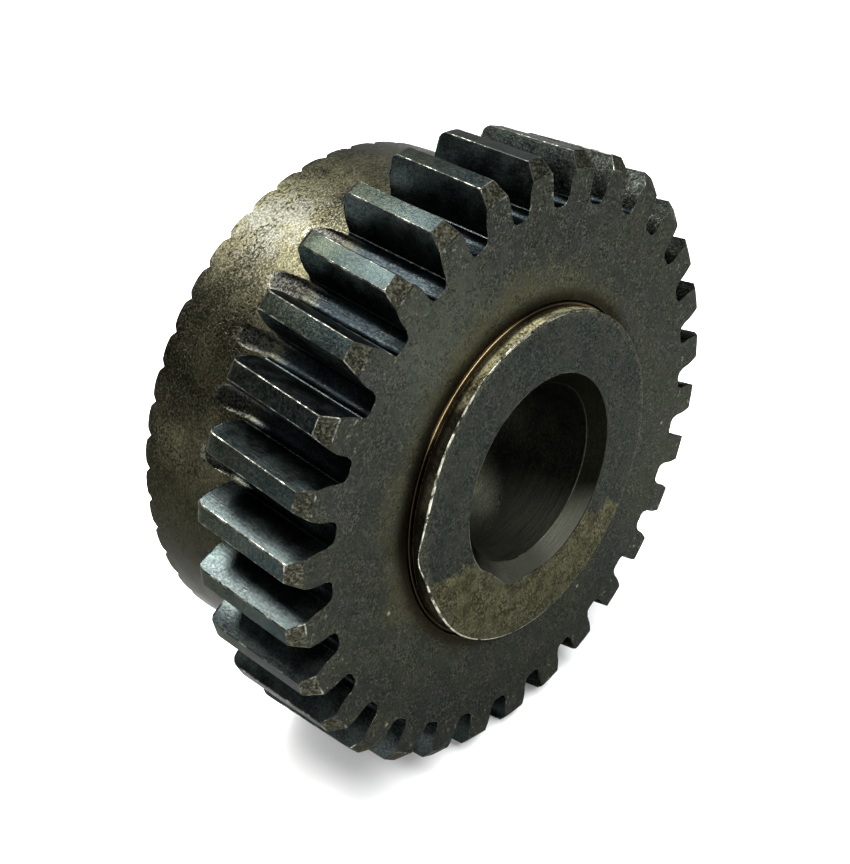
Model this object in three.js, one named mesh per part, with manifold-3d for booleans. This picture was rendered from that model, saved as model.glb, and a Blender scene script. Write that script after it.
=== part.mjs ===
// A free-running helical gear on its flanged hub sleeve.
// The gear wheel carries thirty right-hand helical teeth, a smooth rear drum and a serrated clutch rim.
// It turns on two bronze bushes pressed into its bore. A bronze washer behind the sleeve's flange and
// another in front of the retaining ring take the end thrust.
// Every piece is made with the gear's axis along Z and its front towards +Z. The last group turns the
// axis onto Y with the front towards -Y. Lengths are millimetres, angles are radians.

import * as THREE from 'three';
import { mergeVertices } from 'three/addons/utils/BufferGeometryUtils.js';
import Module from 'manifold-3d';

const wasm = await Module();
wasm.setup();

// ---- driving dimensions ----

const DEGREE = Math.PI / 180;

// Teeth
const MODULE = 3;
const TOOTH_COUNT = 30;
const HELIX_ANGLE = 6.2 * DEGREE;
const PRESSURE_ANGLE = 15 * DEGREE;
const WHOLE_DEPTH = 2.32 * MODULE;
const ROOT_FILLET = 0.9;
const FACE_WIDTH = 19.2;
const TOOTH_PHASE = 5.07 * DEGREE;

// Axial stations, from the front of the hub's boss to the rear of the clutch rim
const LENGTH = 41;
const BOSS_HEIGHT = 2.8;
const FRONT = LENGTH / 2;
const REAR = -LENGTH / 2;
const GEAR_FACE = FRONT - BOSS_HEIGHT;
const TEETH_REAR = GEAR_FACE - FACE_WIDTH;
const CUP_FLOOR = -9;
const SLEEVE_REAR = -14;

// Tooth end chamfers
const FRONT_CHAMFER = { axial: 1.7, radial: 2.05 };
const REAR_CHAMFER = { axial: 0.9, radial: 0.8 };

// Drum and clutch rim
const DRUM_RADIUS = 41.5;
const CUP_RADIUS = 34;
const SERRATIONS = { count: 50, depth: 0.9, halfMouth: 1.15, phase: 1.35 * DEGREE };
const GROOVE_CUTTER = { outer: 44, length: 12 };

// Hub sleeve
const BOSS_RADIUS = 26.2;
const SLEEVE_RADIUS = 19;
const BORE_RADIUS = 14.25;
const BORE_CHAMFER = 2.4;
const BOSS_RIM_CHAMFER = 0.3;
const SLEEVE_REAR_CHAMFER = 1;

// Bushes, washers and retaining ring
const RUNNING_CLEARANCE = 0.08;
const SEAT_GAP = 0.1;
const END_GAP = 0.3;
const BUSH_RADIUS = 21.5;
const BUSH_LENGTH = 11.2;
const FRONT_WASHER = { radius: 26.5, thickness: 1.1, proud: 0.2 };
const REAR_WASHER = { radius: 25.5, thickness: 1.5 };
const RING = {
  radius: 21.6,
  lugRadius: 25,
  thickness: 1.4,
  halfGap: 8 * DEGREE,
  lugAngle: 20 * DEGREE,
  eye: 1.1,
};
const RING_GROOVE = { radius: 17.7, sideGap: 0.2 };

const ROUND_SEGMENTS = 72;
const TWIST_STEPS = 2;
const FILLET_POINTS = 3;
const FLANK_POINTS = 4;
const ARC_SEGMENTS = 18;

// How far a flank runs past the tip before it is trimmed, and a cutting body past the faces it cuts
const FLANK_OVERRUN = 0.5;
const OVERRUN = 1;

// Vertices closer than this are one
const MERGE_DISTANCE = 1e-4;

// ---- gear tooth geometry ----

const PITCH_RADIUS = (MODULE * TOOTH_COUNT) / (2 * Math.cos(HELIX_ANGLE));
const TIP_RADIUS = PITCH_RADIUS + MODULE;
const ROOT_RADIUS = TIP_RADIUS - WHOLE_DEPTH;
const TRANSVERSE_ANGLE = Math.atan(Math.tan(PRESSURE_ANGLE) / Math.cos(HELIX_ANGLE));
const BASE_RADIUS = PITCH_RADIUS * Math.cos(TRANSVERSE_ANGLE);
const TWIST_PER_MM = Math.tan(HELIX_ANGLE) / PITCH_RADIUS;
const TOOTH_PITCH = (2 * Math.PI) / TOOTH_COUNT;

const involute = (angle) => Math.tan(angle) - angle;

// Half the tooth's angular thickness at a radius, at least the base radius
function halfTooth(radius) {
  const angle = Math.acos(Math.min(1, BASE_RADIUS / radius));
  return TOOTH_PITCH / 4 + involute(TRANSVERSE_ANGLE) - involute(angle);
}

const polar = (radius, angle) => new THREE.Vector2(radius * Math.cos(angle), radius * Math.sin(angle));

// One flank from root to tip, as [radius, half angle] pairs, with a rounded root corner
function flank() {
  const filletTop = ROOT_RADIUS + ROOT_FILLET;
  const baseHalf = halfTooth(BASE_RADIUS);
  const filletAngle = ROOT_FILLET / ROOT_RADIUS;
  const pairs = [];
  for (let i = 0; i < FILLET_POINTS; i += 1) {
    const turn = (i / FILLET_POINTS) * (Math.PI / 2);
    const radius = filletTop - ROOT_FILLET * Math.cos(turn);
    pairs.push([radius, baseHalf + filletAngle * (1 - Math.sin(turn))]);
  }
  for (let i = 0; i <= FLANK_POINTS; i += 1) {
    const radius = BASE_RADIUS + ((TIP_RADIUS + FLANK_OVERRUN - BASE_RADIUS) * i) / FLANK_POINTS;
    pairs.push([radius, halfTooth(radius)]);
  }
  return pairs;
}

function toothOutline() {
  const points = [];
  const side = flank();
  for (let i = 0; i < TOOTH_COUNT; i += 1) {
    const centre = TOOTH_PHASE + i * TOOTH_PITCH;
    side.forEach(([radius, half]) => points.push(polar(radius, centre - half)));
    [...side].reverse().forEach(([radius, half]) => points.push(polar(radius, centre + half)));
  }
  return new THREE.Shape(points);
}

// Turns each vertex about Z by an angle that grows with its height above the plane z = 0
function twist(geometry, perMillimetre) {
  const position = geometry.attributes.position;
  const vertex = new THREE.Vector3();
  const axis = new THREE.Vector3(0, 0, 1);
  for (let i = 0; i < position.count; i += 1) {
    vertex.fromBufferAttribute(position, i);
    vertex.applyAxisAngle(axis, vertex.z * perMillimetre);
    position.setXYZ(i, vertex.x, vertex.y, vertex.z);
  }
  return geometry;
}

// ---- closed bodies ----

function signedVolume(geometry) {
  const position = geometry.attributes.position;
  const index = geometry.index.array;
  const [a, b, c] = [new THREE.Vector3(), new THREE.Vector3(), new THREE.Vector3()];
  let volume = 0;
  for (let i = 0; i < index.length; i += 3) {
    a.fromBufferAttribute(position, index[i]);
    b.fromBufferAttribute(position, index[i + 1]);
    c.fromBufferAttribute(position, index[i + 2]);
    volume += a.dot(b.cross(c));
  }
  return volume;
}

// Merges the vertices and makes the faces point out
function closed(geometry) {
  const bare = geometry.clone();
  bare.deleteAttribute('normal');
  bare.deleteAttribute('uv');
  const merged = mergeVertices(bare, MERGE_DISTANCE);
  if (signedVolume(merged) < 0) {
    merged.index.array.reverse();
  }
  return merged;
}

// A body of revolution about Z from a closed profile of [radius, z] pairs
function revolved(profile) {
  const points = profile.map(([radius, z]) => new THREE.Vector2(radius, z));
  points.push(points[0].clone());
  const lathe = new THREE.LatheGeometry(points, ROUND_SEGMENTS);
  return closed(lathe.rotateX(Math.PI / 2));
}

function ring(inner, outer, low, high) {
  return revolved([[inner, low], [outer, low], [outer, high], [inner, high]]);
}

// A body of revolution whose open profile starts and ends on the axis
function solidOfRevolution(profile) {
  const points = profile.map(([radius, z]) => new THREE.Vector2(radius, z));
  const lathe = new THREE.LatheGeometry(points, ROUND_SEGMENTS);
  return closed(lathe.rotateX(Math.PI / 2));
}

function disc(outer, low, high) {
  return solidOfRevolution([[0, low], [outer, low], [outer, high], [0, high]]);
}

function toManifold(geometry) {
  const vertProperties = new Float32Array(geometry.attributes.position.array);
  const triVerts = new Uint32Array(geometry.index.array);
  return new wasm.Manifold(new wasm.Mesh({ numProp: 3, vertProperties, triVerts }));
}

function toGeometry(manifold) {
  const mesh = manifold.getMesh();
  const geometry = new THREE.BufferGeometry();
  geometry.setAttribute('position', new THREE.BufferAttribute(mesh.vertProperties, 3));
  geometry.setIndex(new THREE.BufferAttribute(mesh.triVerts, 1));
  return geometry;
}

// ---- gear wheel ----

function toothedBlank() {
  const bar = new THREE.ExtrudeGeometry(toothOutline(), {
    depth: FACE_WIDTH,
    steps: TWIST_STEPS,
    bevelEnabled: false,
  });
  bar.translate(0, 0, -FACE_WIDTH);
  twist(bar, TWIST_PER_MM);
  bar.translate(0, 0, GEAR_FACE);
  const envelope = solidOfRevolution([
    [0, TEETH_REAR - OVERRUN],
    [TIP_RADIUS - REAR_CHAMFER.radial, TEETH_REAR - OVERRUN],
    [TIP_RADIUS - REAR_CHAMFER.radial, TEETH_REAR],
    [TIP_RADIUS, TEETH_REAR + REAR_CHAMFER.axial],
    [TIP_RADIUS, GEAR_FACE - FRONT_CHAMFER.axial],
    [TIP_RADIUS - FRONT_CHAMFER.radial, GEAR_FACE],
    [TIP_RADIUS - FRONT_CHAMFER.radial, GEAR_FACE + OVERRUN],
    [0, GEAR_FACE + OVERRUN],
  ]);
  return toManifold(closed(bar)).intersect(toManifold(envelope));
}

// One V groove across the rear rim, along a radius
function serration(angle) {
  const triangle = new THREE.Shape([
    new THREE.Vector2(-2 * SERRATIONS.halfMouth, -SERRATIONS.depth),
    new THREE.Vector2(2 * SERRATIONS.halfMouth, -SERRATIONS.depth),
    new THREE.Vector2(0, SERRATIONS.depth),
  ]);
  const groove = new THREE.ExtrudeGeometry(triangle, { depth: GROOVE_CUTTER.length, bevelEnabled: false });
  groove.rotateX(Math.PI / 2);
  groove.translate(0, GROOVE_CUTTER.outer, REAR);
  groove.rotateZ(angle - Math.PI / 2);
  return toManifold(closed(groove));
}

function helicalGear() {
  const washerSeat = GEAR_FACE + FRONT_WASHER.proud - FRONT_WASHER.thickness - END_GAP;
  const drum = toManifold(disc(DRUM_RADIUS, REAR, TEETH_REAR + OVERRUN));
  const bore = toManifold(disc(BUSH_RADIUS + SEAT_GAP, REAR - OVERRUN, FRONT));
  const seat = toManifold(disc(FRONT_WASHER.radius + END_GAP, washerSeat, FRONT));
  const cup = toManifold(disc(CUP_RADIUS, REAR - OVERRUN, CUP_FLOOR));
  let gear = toothedBlank().add(drum).subtract(bore).subtract(seat).subtract(cup);
  for (let i = 0; i < SERRATIONS.count; i += 1) {
    const angle = SERRATIONS.phase + (i * 2 * Math.PI) / SERRATIONS.count;
    gear = gear.subtract(serration(angle));
  }
  return toGeometry(gear);
}

// ---- hub sleeve ----

const FLANGE_BACK = GEAR_FACE + FRONT_WASHER.proud + END_GAP;
const WASHER_REAR = CUP_FLOOR - END_GAP - REAR_WASHER.thickness;
const RING_FRONT = WASHER_REAR - END_GAP;
const RING_REAR = RING_FRONT - RING.thickness;

function hubSleeve() {
  const grooveFront = RING_FRONT + RING_GROOVE.sideGap;
  const grooveRear = RING_REAR - RING_GROOVE.sideGap;
  return revolved([
    [BORE_RADIUS, SLEEVE_REAR + SLEEVE_REAR_CHAMFER],
    [BORE_RADIUS + SLEEVE_REAR_CHAMFER, SLEEVE_REAR],
    [SLEEVE_RADIUS - SLEEVE_REAR_CHAMFER / 2, SLEEVE_REAR],
    [SLEEVE_RADIUS, SLEEVE_REAR + SLEEVE_REAR_CHAMFER / 2],
    [SLEEVE_RADIUS, grooveRear],
    [RING_GROOVE.radius, grooveRear],
    [RING_GROOVE.radius, grooveFront],
    [SLEEVE_RADIUS, grooveFront],
    [SLEEVE_RADIUS, FLANGE_BACK],
    [BOSS_RADIUS, FLANGE_BACK],
    [BOSS_RADIUS, FRONT - BOSS_RIM_CHAMFER],
    [BOSS_RADIUS - BOSS_RIM_CHAMFER, FRONT],
    [BORE_RADIUS + BORE_CHAMFER, FRONT],
    [BORE_RADIUS, FRONT - BORE_CHAMFER],
  ]);
}

// ---- bushes, washers and retaining ring ----

function bush(high) {
  return ring(SLEEVE_RADIUS + RUNNING_CLEARANCE, BUSH_RADIUS, high - BUSH_LENGTH, high);
}

function retainingRing() {
  const { radius, lugRadius, thickness, halfGap, lugAngle, eye } = RING;
  const inner = RING_GROOVE.radius + END_GAP;
  const outline = new THREE.Shape();
  outline.absarc(0, 0, radius, lugAngle, 2 * Math.PI - lugAngle, false);
  outline.absarc(0, 0, lugRadius, 2 * Math.PI - lugAngle, 2 * Math.PI - halfGap, false);
  outline.absarc(0, 0, inner, 2 * Math.PI - halfGap, halfGap, true);
  outline.absarc(0, 0, lugRadius, halfGap, lugAngle, false);
  const eyeRadius = (inner + lugRadius) / 2;
  [1, -1].forEach((side) => {
    const centre = polar(eyeRadius, (side * (halfGap + lugAngle)) / 2);
    const hole = new THREE.Path();
    hole.absarc(centre.x, centre.y, eye, 0, 2 * Math.PI, true);
    outline.holes.push(hole);
  });
  const plate = new THREE.ExtrudeGeometry(outline, {
    depth: thickness,
    bevelEnabled: false,
    curveSegments: ARC_SEGMENTS,
  });
  return closed(plate.translate(0, 0, RING_REAR));
}

// ---- materials ----

const steel = (color, roughness) => new THREE.MeshStandardMaterial({ color, roughness, metalness: 0.9 });
const blackenedSteel = steel(0x3f423e, 0.55);
const groundSteel = steel(0x6b7073, 0.4);
const springSteel = steel(0x2c2d30, 0.45);
const bronze = new THREE.MeshStandardMaterial({ color: 0xa5843f, roughness: 0.4, metalness: 0.85 });

// ---- assembly ----

const gearUnit = new THREE.Group();

function add(name, geometry, material) {
  const mesh = new THREE.Mesh(geometry, material.clone());
  mesh.name = name;
  gearUnit.add(mesh);
}

const frontWasherTop = GEAR_FACE + FRONT_WASHER.proud;
const frontWasherRear = frontWasherTop - FRONT_WASHER.thickness;
const frontBushTop = frontWasherRear - 2 * END_GAP;
const rearBushTop = CUP_FLOOR + END_GAP + BUSH_LENGTH;
const rearWasherTop = CUP_FLOOR - END_GAP;
const washerBore = SLEEVE_RADIUS + END_GAP;

add('helical_gear', helicalGear(), blackenedSteel);
add('hub_sleeve', hubSleeve(), groundSteel);
add('front_bush', bush(frontBushTop), bronze);
add('rear_bush', bush(rearBushTop), bronze);
add('front_thrust_washer', ring(washerBore, FRONT_WASHER.radius, frontWasherRear, frontWasherTop), bronze);
add('rear_thrust_washer', ring(washerBore, REAR_WASHER.radius, WASHER_REAR, rearWasherTop), bronze);
add('retaining_ring', retainingRing(), springSteel);

gearUnit.rotation.x = Math.PI / 2;

const assembly = new THREE.Group();
assembly.add(gearUnit);

export default assembly;
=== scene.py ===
"""The looks of a free-running helical gear on its flanged hub sleeve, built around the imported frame."""

import math

import bmesh
import bpy
import numpy as np
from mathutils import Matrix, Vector, noise


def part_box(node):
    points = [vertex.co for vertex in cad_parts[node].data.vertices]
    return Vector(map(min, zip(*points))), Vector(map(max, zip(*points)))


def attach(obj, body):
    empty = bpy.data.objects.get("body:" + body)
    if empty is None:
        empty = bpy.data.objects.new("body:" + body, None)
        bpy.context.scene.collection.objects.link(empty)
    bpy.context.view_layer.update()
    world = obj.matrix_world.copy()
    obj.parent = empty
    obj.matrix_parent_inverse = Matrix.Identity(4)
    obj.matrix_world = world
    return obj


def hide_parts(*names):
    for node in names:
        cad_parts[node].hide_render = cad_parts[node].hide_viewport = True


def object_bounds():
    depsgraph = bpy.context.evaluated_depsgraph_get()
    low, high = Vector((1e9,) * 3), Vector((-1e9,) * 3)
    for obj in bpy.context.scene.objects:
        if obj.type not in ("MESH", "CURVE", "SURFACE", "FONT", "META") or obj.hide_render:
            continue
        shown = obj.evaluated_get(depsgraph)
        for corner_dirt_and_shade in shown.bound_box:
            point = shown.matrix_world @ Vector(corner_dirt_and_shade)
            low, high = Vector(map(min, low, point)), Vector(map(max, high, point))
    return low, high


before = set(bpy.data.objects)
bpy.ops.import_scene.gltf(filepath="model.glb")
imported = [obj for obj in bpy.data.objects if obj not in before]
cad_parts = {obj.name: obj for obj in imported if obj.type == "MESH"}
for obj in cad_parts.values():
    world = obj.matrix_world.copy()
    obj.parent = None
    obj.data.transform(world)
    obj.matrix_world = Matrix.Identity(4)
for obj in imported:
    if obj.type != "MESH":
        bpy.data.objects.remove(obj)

cad_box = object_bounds()

# ---- dimensions, in millimetres unless a name says otherwise ----
# Pieces are made with the gear's axis along Z and its front towards +Z, then laid with the axis on Y.

MM = 0.001
DEGREE = math.pi / 180


def frame_mm(node):
    """The node's lowest and highest corner in the frame, in millimetres."""
    low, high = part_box(node)
    return [c / MM for c in low], [c / MM for c in high]


gear_low, gear_high = frame_mm("helical_gear")
sleeve_low, sleeve_high = frame_mm("hub_sleeve")

FRONT = -sleeve_low[1]
GEAR_FACE = -gear_low[1]
REAR = -gear_high[1]
SLEEVE_REAR = -sleeve_high[1]
BOSS_RADIUS = sleeve_high[0]
TIP_RADIUS = gear_high[0]

# Teeth
TEETH = 30
MODULE = 3.0
HELIX = 6.2 * DEGREE
PRESSURE = 15 * DEGREE
PITCH_RADIUS = TIP_RADIUS - MODULE
ROOT_RADIUS = 41.0
ROOT_FILLET = 1.1
ROOT_LEDGE = {"width": 0.16, "rise": 0.06}
FACE_WIDTH = 19.2
TEETH_REAR = GEAR_FACE - FACE_WIDTH
TOOTH_PHASE = 5.07 * DEGREE
FRONT_CHAMFER = {"axial": 1.7, "radial": 2.05}
REAR_CORNER = {"axial": 1.3, "radial": 1.1}

# The foot of the teeth's rear ends, as shares of the way down to the drum and distances behind the teeth
REAR_FOOT = ((0.5, 0.05), (0.86, 0.12), (0.96, 0.25), (1.0, 0.5))

# Drum, clutch rim and bore. The cup's corner is given as steps in from its wall and up from its floor.
DRUM_RADIUS = 41.5
HOB_RADIUS = 45.0
CUP_RADIUS = 34.0
CUP_FLOOR = -9.0
CUP_CORNER = ((0.0, 0.8), (0.25, 0.22), (0.8, 0.0))
GEAR_BORE = 21.6
WASHER_SEAT = {"radius": 26.8, "depth": 1.2}
NOTCHES = {"count": 50, "depth": 0.9, "half_mouth": 0.85, "crown": 0.45, "phase": 1.35 * DEGREE}

# Hub sleeve, with the running clearances of the pieces round it
SLEEVE_RADIUS = 19.0
BORE_RADIUS = 14.25
BORE_CHAMFER = 2.4
REAR_BORE_CHAMFER = 1.0
FLANGE_BACK = 18.2
GROOVE = {"radius": 17.7, "front": -10.9, "rear": -12.7}
BOSS_RIM = (BOSS_RADIUS, FRONT)
BORE_RIM = (BORE_RADIUS + BORE_CHAMFER, FRONT)
BUSH_CLEARANCE = 0.08
WASHER_CLEARANCE = 0.3

# Wear of the sleeve's two front rims. Each mark has its place, as an angle from +X towards the top, its
# width, also in degrees, and its depth or height. A dent also drops the rim by a share of its depth.
RIM_DENTS = ((97, 8, 0.35), (141, 2, 0.22), (160, 8, 0.35), (206, 11, 0.35))
RIM_BURRS = ((124, 4, 0.35), (181, 8, 1.35))
BORE_CORNER = (247, 11, 0.75)
BORE_FLATS = ((226, 9, 0.65), (266, 8, 0.3))
DENT_DROP = 0.3

# Marks in the skin, and painted light: the side and edge of the boss's brown patch, the middle of a
# painted sheen on the gear's front face, as (x, z) in the frame, and the middle of a scuff on its drum
# that also paints in its highlight, as (x, y, z)
PATCH = {"side": 260 * DEGREE, "edge": 10.3}
SHEEN_SPOT = (-19.0, 29.0)
SCUFF_AND_HIGHLIGHT = (-18.0, 15.0, 37.4)

# Retaining ring
RING = {"inner": 18.0, "outer": 21.6, "lug": 25.0, "front": -11.1, "rear": -12.5, "rounding": 0.12}
RING_GAP = {"half": 8 * DEGREE, "lug": 20 * DEGREE, "eye": 1.1}

# Edges. Those along the tooth spaces, inside this radius, stay unworn.
SPACE_RADIUS = 43.0
SHARP = 28 * DEGREE
EDGE_WIDTHS = {"gear": 0.22, "sleeve": 0.45, "small": 0.18}
LEAST_WEAR = 0.4
ROOM_SHARE = 0.45

# The camera's place, from the middle of the gear's front face, and its lens
CAMERA = {
    "place": (-143.9, -108.9, 111.2),
    "azimuth": -48.0 * DEGREE,
    "elevation": 30.1 * DEGREE,
    "lens": 58.7,
}


# ---- meshes ----

def grid_object(name, rows, bands, materials, edge_width):
    """A closed ring of quads from rows of (x, y, z) points. Row i and row i + 1 bound band i."""
    count = len(rows[0])
    points = np.concatenate(rows)
    points = np.stack([points[:, 0], -points[:, 2], points[:, 1]], axis=1) * MM
    near = np.arange(count)
    far = (near + 1) % count
    faces = []
    slots = []
    for i, band in enumerate(bands):
        here = i * count
        there = ((i + 1) % len(rows)) * count
        faces.append(np.stack([here + near, there + near, there + far, here + far], axis=1))
        slots.append(np.broadcast_to(np.asarray(band), (count,)))
    mesh = bpy.data.meshes.new(name)
    mesh.from_pydata(points.tolist(), [], np.concatenate(faces).tolist())
    for material in materials:
        mesh.materials.append(material)
    mesh.polygons.foreach_set("material_index", np.concatenate(slots).astype(np.int32))
    return finished(name, mesh, edge_width, len(materials) - 1)


def finished(name, mesh, edge_width, edge_slot):
    """Rounds the mesh's outer edges, by an amount that wanders as wear does, and links the object."""
    weigh_edges(mesh, edge_width * MM)
    mesh.shade_smooth()
    mesh.set_sharp_from_angle(angle=SHARP)
    piece = bpy.data.objects.new(name, mesh)
    bpy.context.scene.collection.objects.link(piece)
    bevel = piece.modifiers.new("worn edges", "BEVEL")
    bevel.width = edge_width * MM
    bevel.segments = 2
    bevel.limit_method = "WEIGHT"
    bevel.use_clamp_overlap = False
    bevel.harden_normals = True
    bevel.material = edge_slot
    return piece


def weigh_edges(mesh, width):
    """Gives each sharp outer edge a bevel weight that wanders, less where its neighbours are short."""
    form = bmesh.new()
    form.from_mesh(mesh)
    bmesh.ops.recalc_face_normals(form, faces=form.faces)
    layer = form.edges.layers.float.new("bevel_weight_edge")
    for edge in form.edges:
        if edge.calc_face_angle_signed(0.0) < SHARP:
            continue
        middle = (edge.verts[0].co + edge.verts[1].co) / 2
        run = edge.verts[0].co - edge.verts[1].co
        along_axis = abs(run.y) > 0.7 * run.length
        if along_axis and math.hypot(middle.x, middle.z) < SPACE_RADIUS * MM:
            continue

        # The wear wanders over about 2 mm and over half a millimetre
        wear = 0.7 + 0.45 * noise.noise(middle * 420) + 0.25 * noise.noise(middle * 1900)
        room = min(e.calc_length() for f in edge.link_faces for e in f.edges if e is not edge)
        edge[layer] = min(max(wear, LEAST_WEAR), 1.0, ROOM_SHARE * room / width)
    form.to_mesh(mesh)
    form.free()


def polar_row(radius, angle, height):
    """A row of points from radii, angles and heights, each an array or a number."""
    radius, angle, height = np.broadcast_arrays(radius, angle, height)
    return np.stack([radius * np.cos(angle), radius * np.sin(angle), height], axis=1)


# ---- gear wheel ----

# The outline's columns, the same in every row. Their number is a multiple of the rim's notches, and
# FIRST_NOTCH is the column that the middle of the rim's first notch lies on.
FLOOR_COLUMNS = 4
FILLET_COLUMNS = 6
FLANK_COLUMNS = 11
LAND_SHARES = (0.34, 0.52, 0.7, 0.86, 1.0)
HALF = FLOOR_COLUMNS + FILLET_COLUMNS + FLANK_COLUMNS + len(LAND_SHARES) - 1
COLUMNS = 2 * HALF * TEETH
FIRST_NOTCH = 20

# Where the wheel's rows lie
FACE_RADII = (33.0, 39.8)
CHAMFER_SHARES = (0, 0.35, 0.7)
TOOTH_ROWS = 8
CORNER_TURNS = (22.5 * DEGREE, 45 * DEGREE, 67.5 * DEGREE, 90 * DEGREE)
RUNOUT_ROWS = 6
RUNOUT_SPARE = 0.3
DRUM_SHARES = (0.33, 0.66, 0.88)
RIM_RADII = (DRUM_RADIUS, 39.5, 37.5, 35.7, CUP_RADIUS)
CUP_WALL_TOP = REAR + 2.4
CUP_FLOOR_RADIUS = 28.0
BORE_SHARES = (0.33, 0.66)

# The involute and the helix. TWIST is in radians for each millimetre along the axis.
TRANSVERSE = math.atan(math.tan(PRESSURE) / math.cos(HELIX))
BASE_RADIUS = PITCH_RADIUS * math.cos(TRANSVERSE)
UNDERCUT = 0.0014  # radians for each millimetre below the base circle
TWIST = math.tan(HELIX) / PITCH_RADIUS
TOOTH_PITCH = 2 * math.pi / TEETH
HALF_NOTCH_PITCH = math.pi / NOTCHES["count"]

FLANK, LAND, CHAMFER, FACE, DRUM, FLOOR, CUP = range(7)


def involute(angle):
    """The involute function of a pressure angle."""
    return math.tan(angle) - angle


def half_tooth(radius):
    """Half the tooth's angular thickness at a radius."""
    if radius < BASE_RADIUS:
        return half_tooth(BASE_RADIUS) + UNDERCUT * (BASE_RADIUS - radius)
    angle = math.acos(BASE_RADIUS / radius)
    return TOOTH_PITCH / 4 + involute(TRANSVERSE) - involute(angle)


def half_outline(tip):
    """From the middle of a space to the middle of a tooth: radii, and angles from the tooth's middle."""
    top = ROOT_RADIUS + ROOT_FILLET
    foot = half_tooth(top) + ROOT_LEDGE["width"] / top
    centre = foot + ROOT_FILLET / top
    points = []
    for i in range(FLOOR_COLUMNS):
        share = i / FLOOR_COLUMNS
        points.append((ROOT_RADIUS, TOOTH_PITCH / 2 + share * (centre - TOOTH_PITCH / 2)))
    for i in range(FILLET_COLUMNS):
        turn = math.pi / 2 * i / FILLET_COLUMNS
        radius = top - ROOT_FILLET * math.cos(turn)
        points.append((radius, centre - ROOT_FILLET * math.sin(turn) / radius))
    points.append((top, foot))
    first = top + ROOT_LEDGE["rise"]
    for i in range(FLANK_COLUMNS - 1):
        radius = first + (tip - first) * i / (FLANK_COLUMNS - 2)
        points.append((radius, half_tooth(radius)))
    for share in LAND_SHARES:
        points.append((tip, half_tooth(tip) * (1 - share)))
    return np.array(points)


def outline(tip):
    """The whole wheel's outline at its front plane, as radii and angles."""
    half = half_outline(tip)
    left, right = half[:-1], half[:0:-1]
    radii = np.concatenate([left[:, 0], right[:, 0]])
    turns = np.concatenate([-left[:, 1], right[:, 1]])
    centres = TOOTH_PHASE + TOOTH_PITCH * np.arange(TEETH)
    return np.tile(radii, TEETH), (centres[:, None] + turns[None, :]).ravel()


def column_regions(space, land):
    """The material slot of each column's quads: floor and fillet, flank, or the given slot on top."""
    spaces = FLOOR_COLUMNS + FILLET_COLUMNS
    half = [space] * spaces + [FLANK] * (FLANK_COLUMNS - 1)
    top = [land] * (2 * (HALF - len(half)))
    return np.tile(np.array(half + top + half[::-1]), TEETH)


def rim_columns():
    """Angles at the clutch rim, and how far each lies from the middle of its notch, from -1 to 1."""
    per_pitch = COLUMNS // NOTCHES["count"]
    index = np.arange(COLUMNS) - FIRST_NOTCH + per_pitch // 2
    number, step = np.divmod(index, per_pitch)
    share = (step - per_pitch // 2) / (per_pitch // 2)
    return NOTCHES["phase"] + HALF_NOTCH_PITCH * (2 * number + share), share


def notch_depth(share, radius):
    """How far the rim's crowned lobes and V notches lie below its top."""
    mouth = NOTCHES["half_mouth"] / (HALF_NOTCH_PITCH * radius)
    notch = np.maximum(0, 1 - np.abs(share) / mouth)
    crown = (1 - np.abs(share)) ** 2
    return NOTCHES["depth"] * ((1 - NOTCHES["crown"]) * notch + NOTCHES["crown"] * crown)


def twisted(angle, height):
    """Where the helix has carried a point of the front plane's outline at a height."""
    return angle + TWIST * (height - GEAR_FACE)


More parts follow.
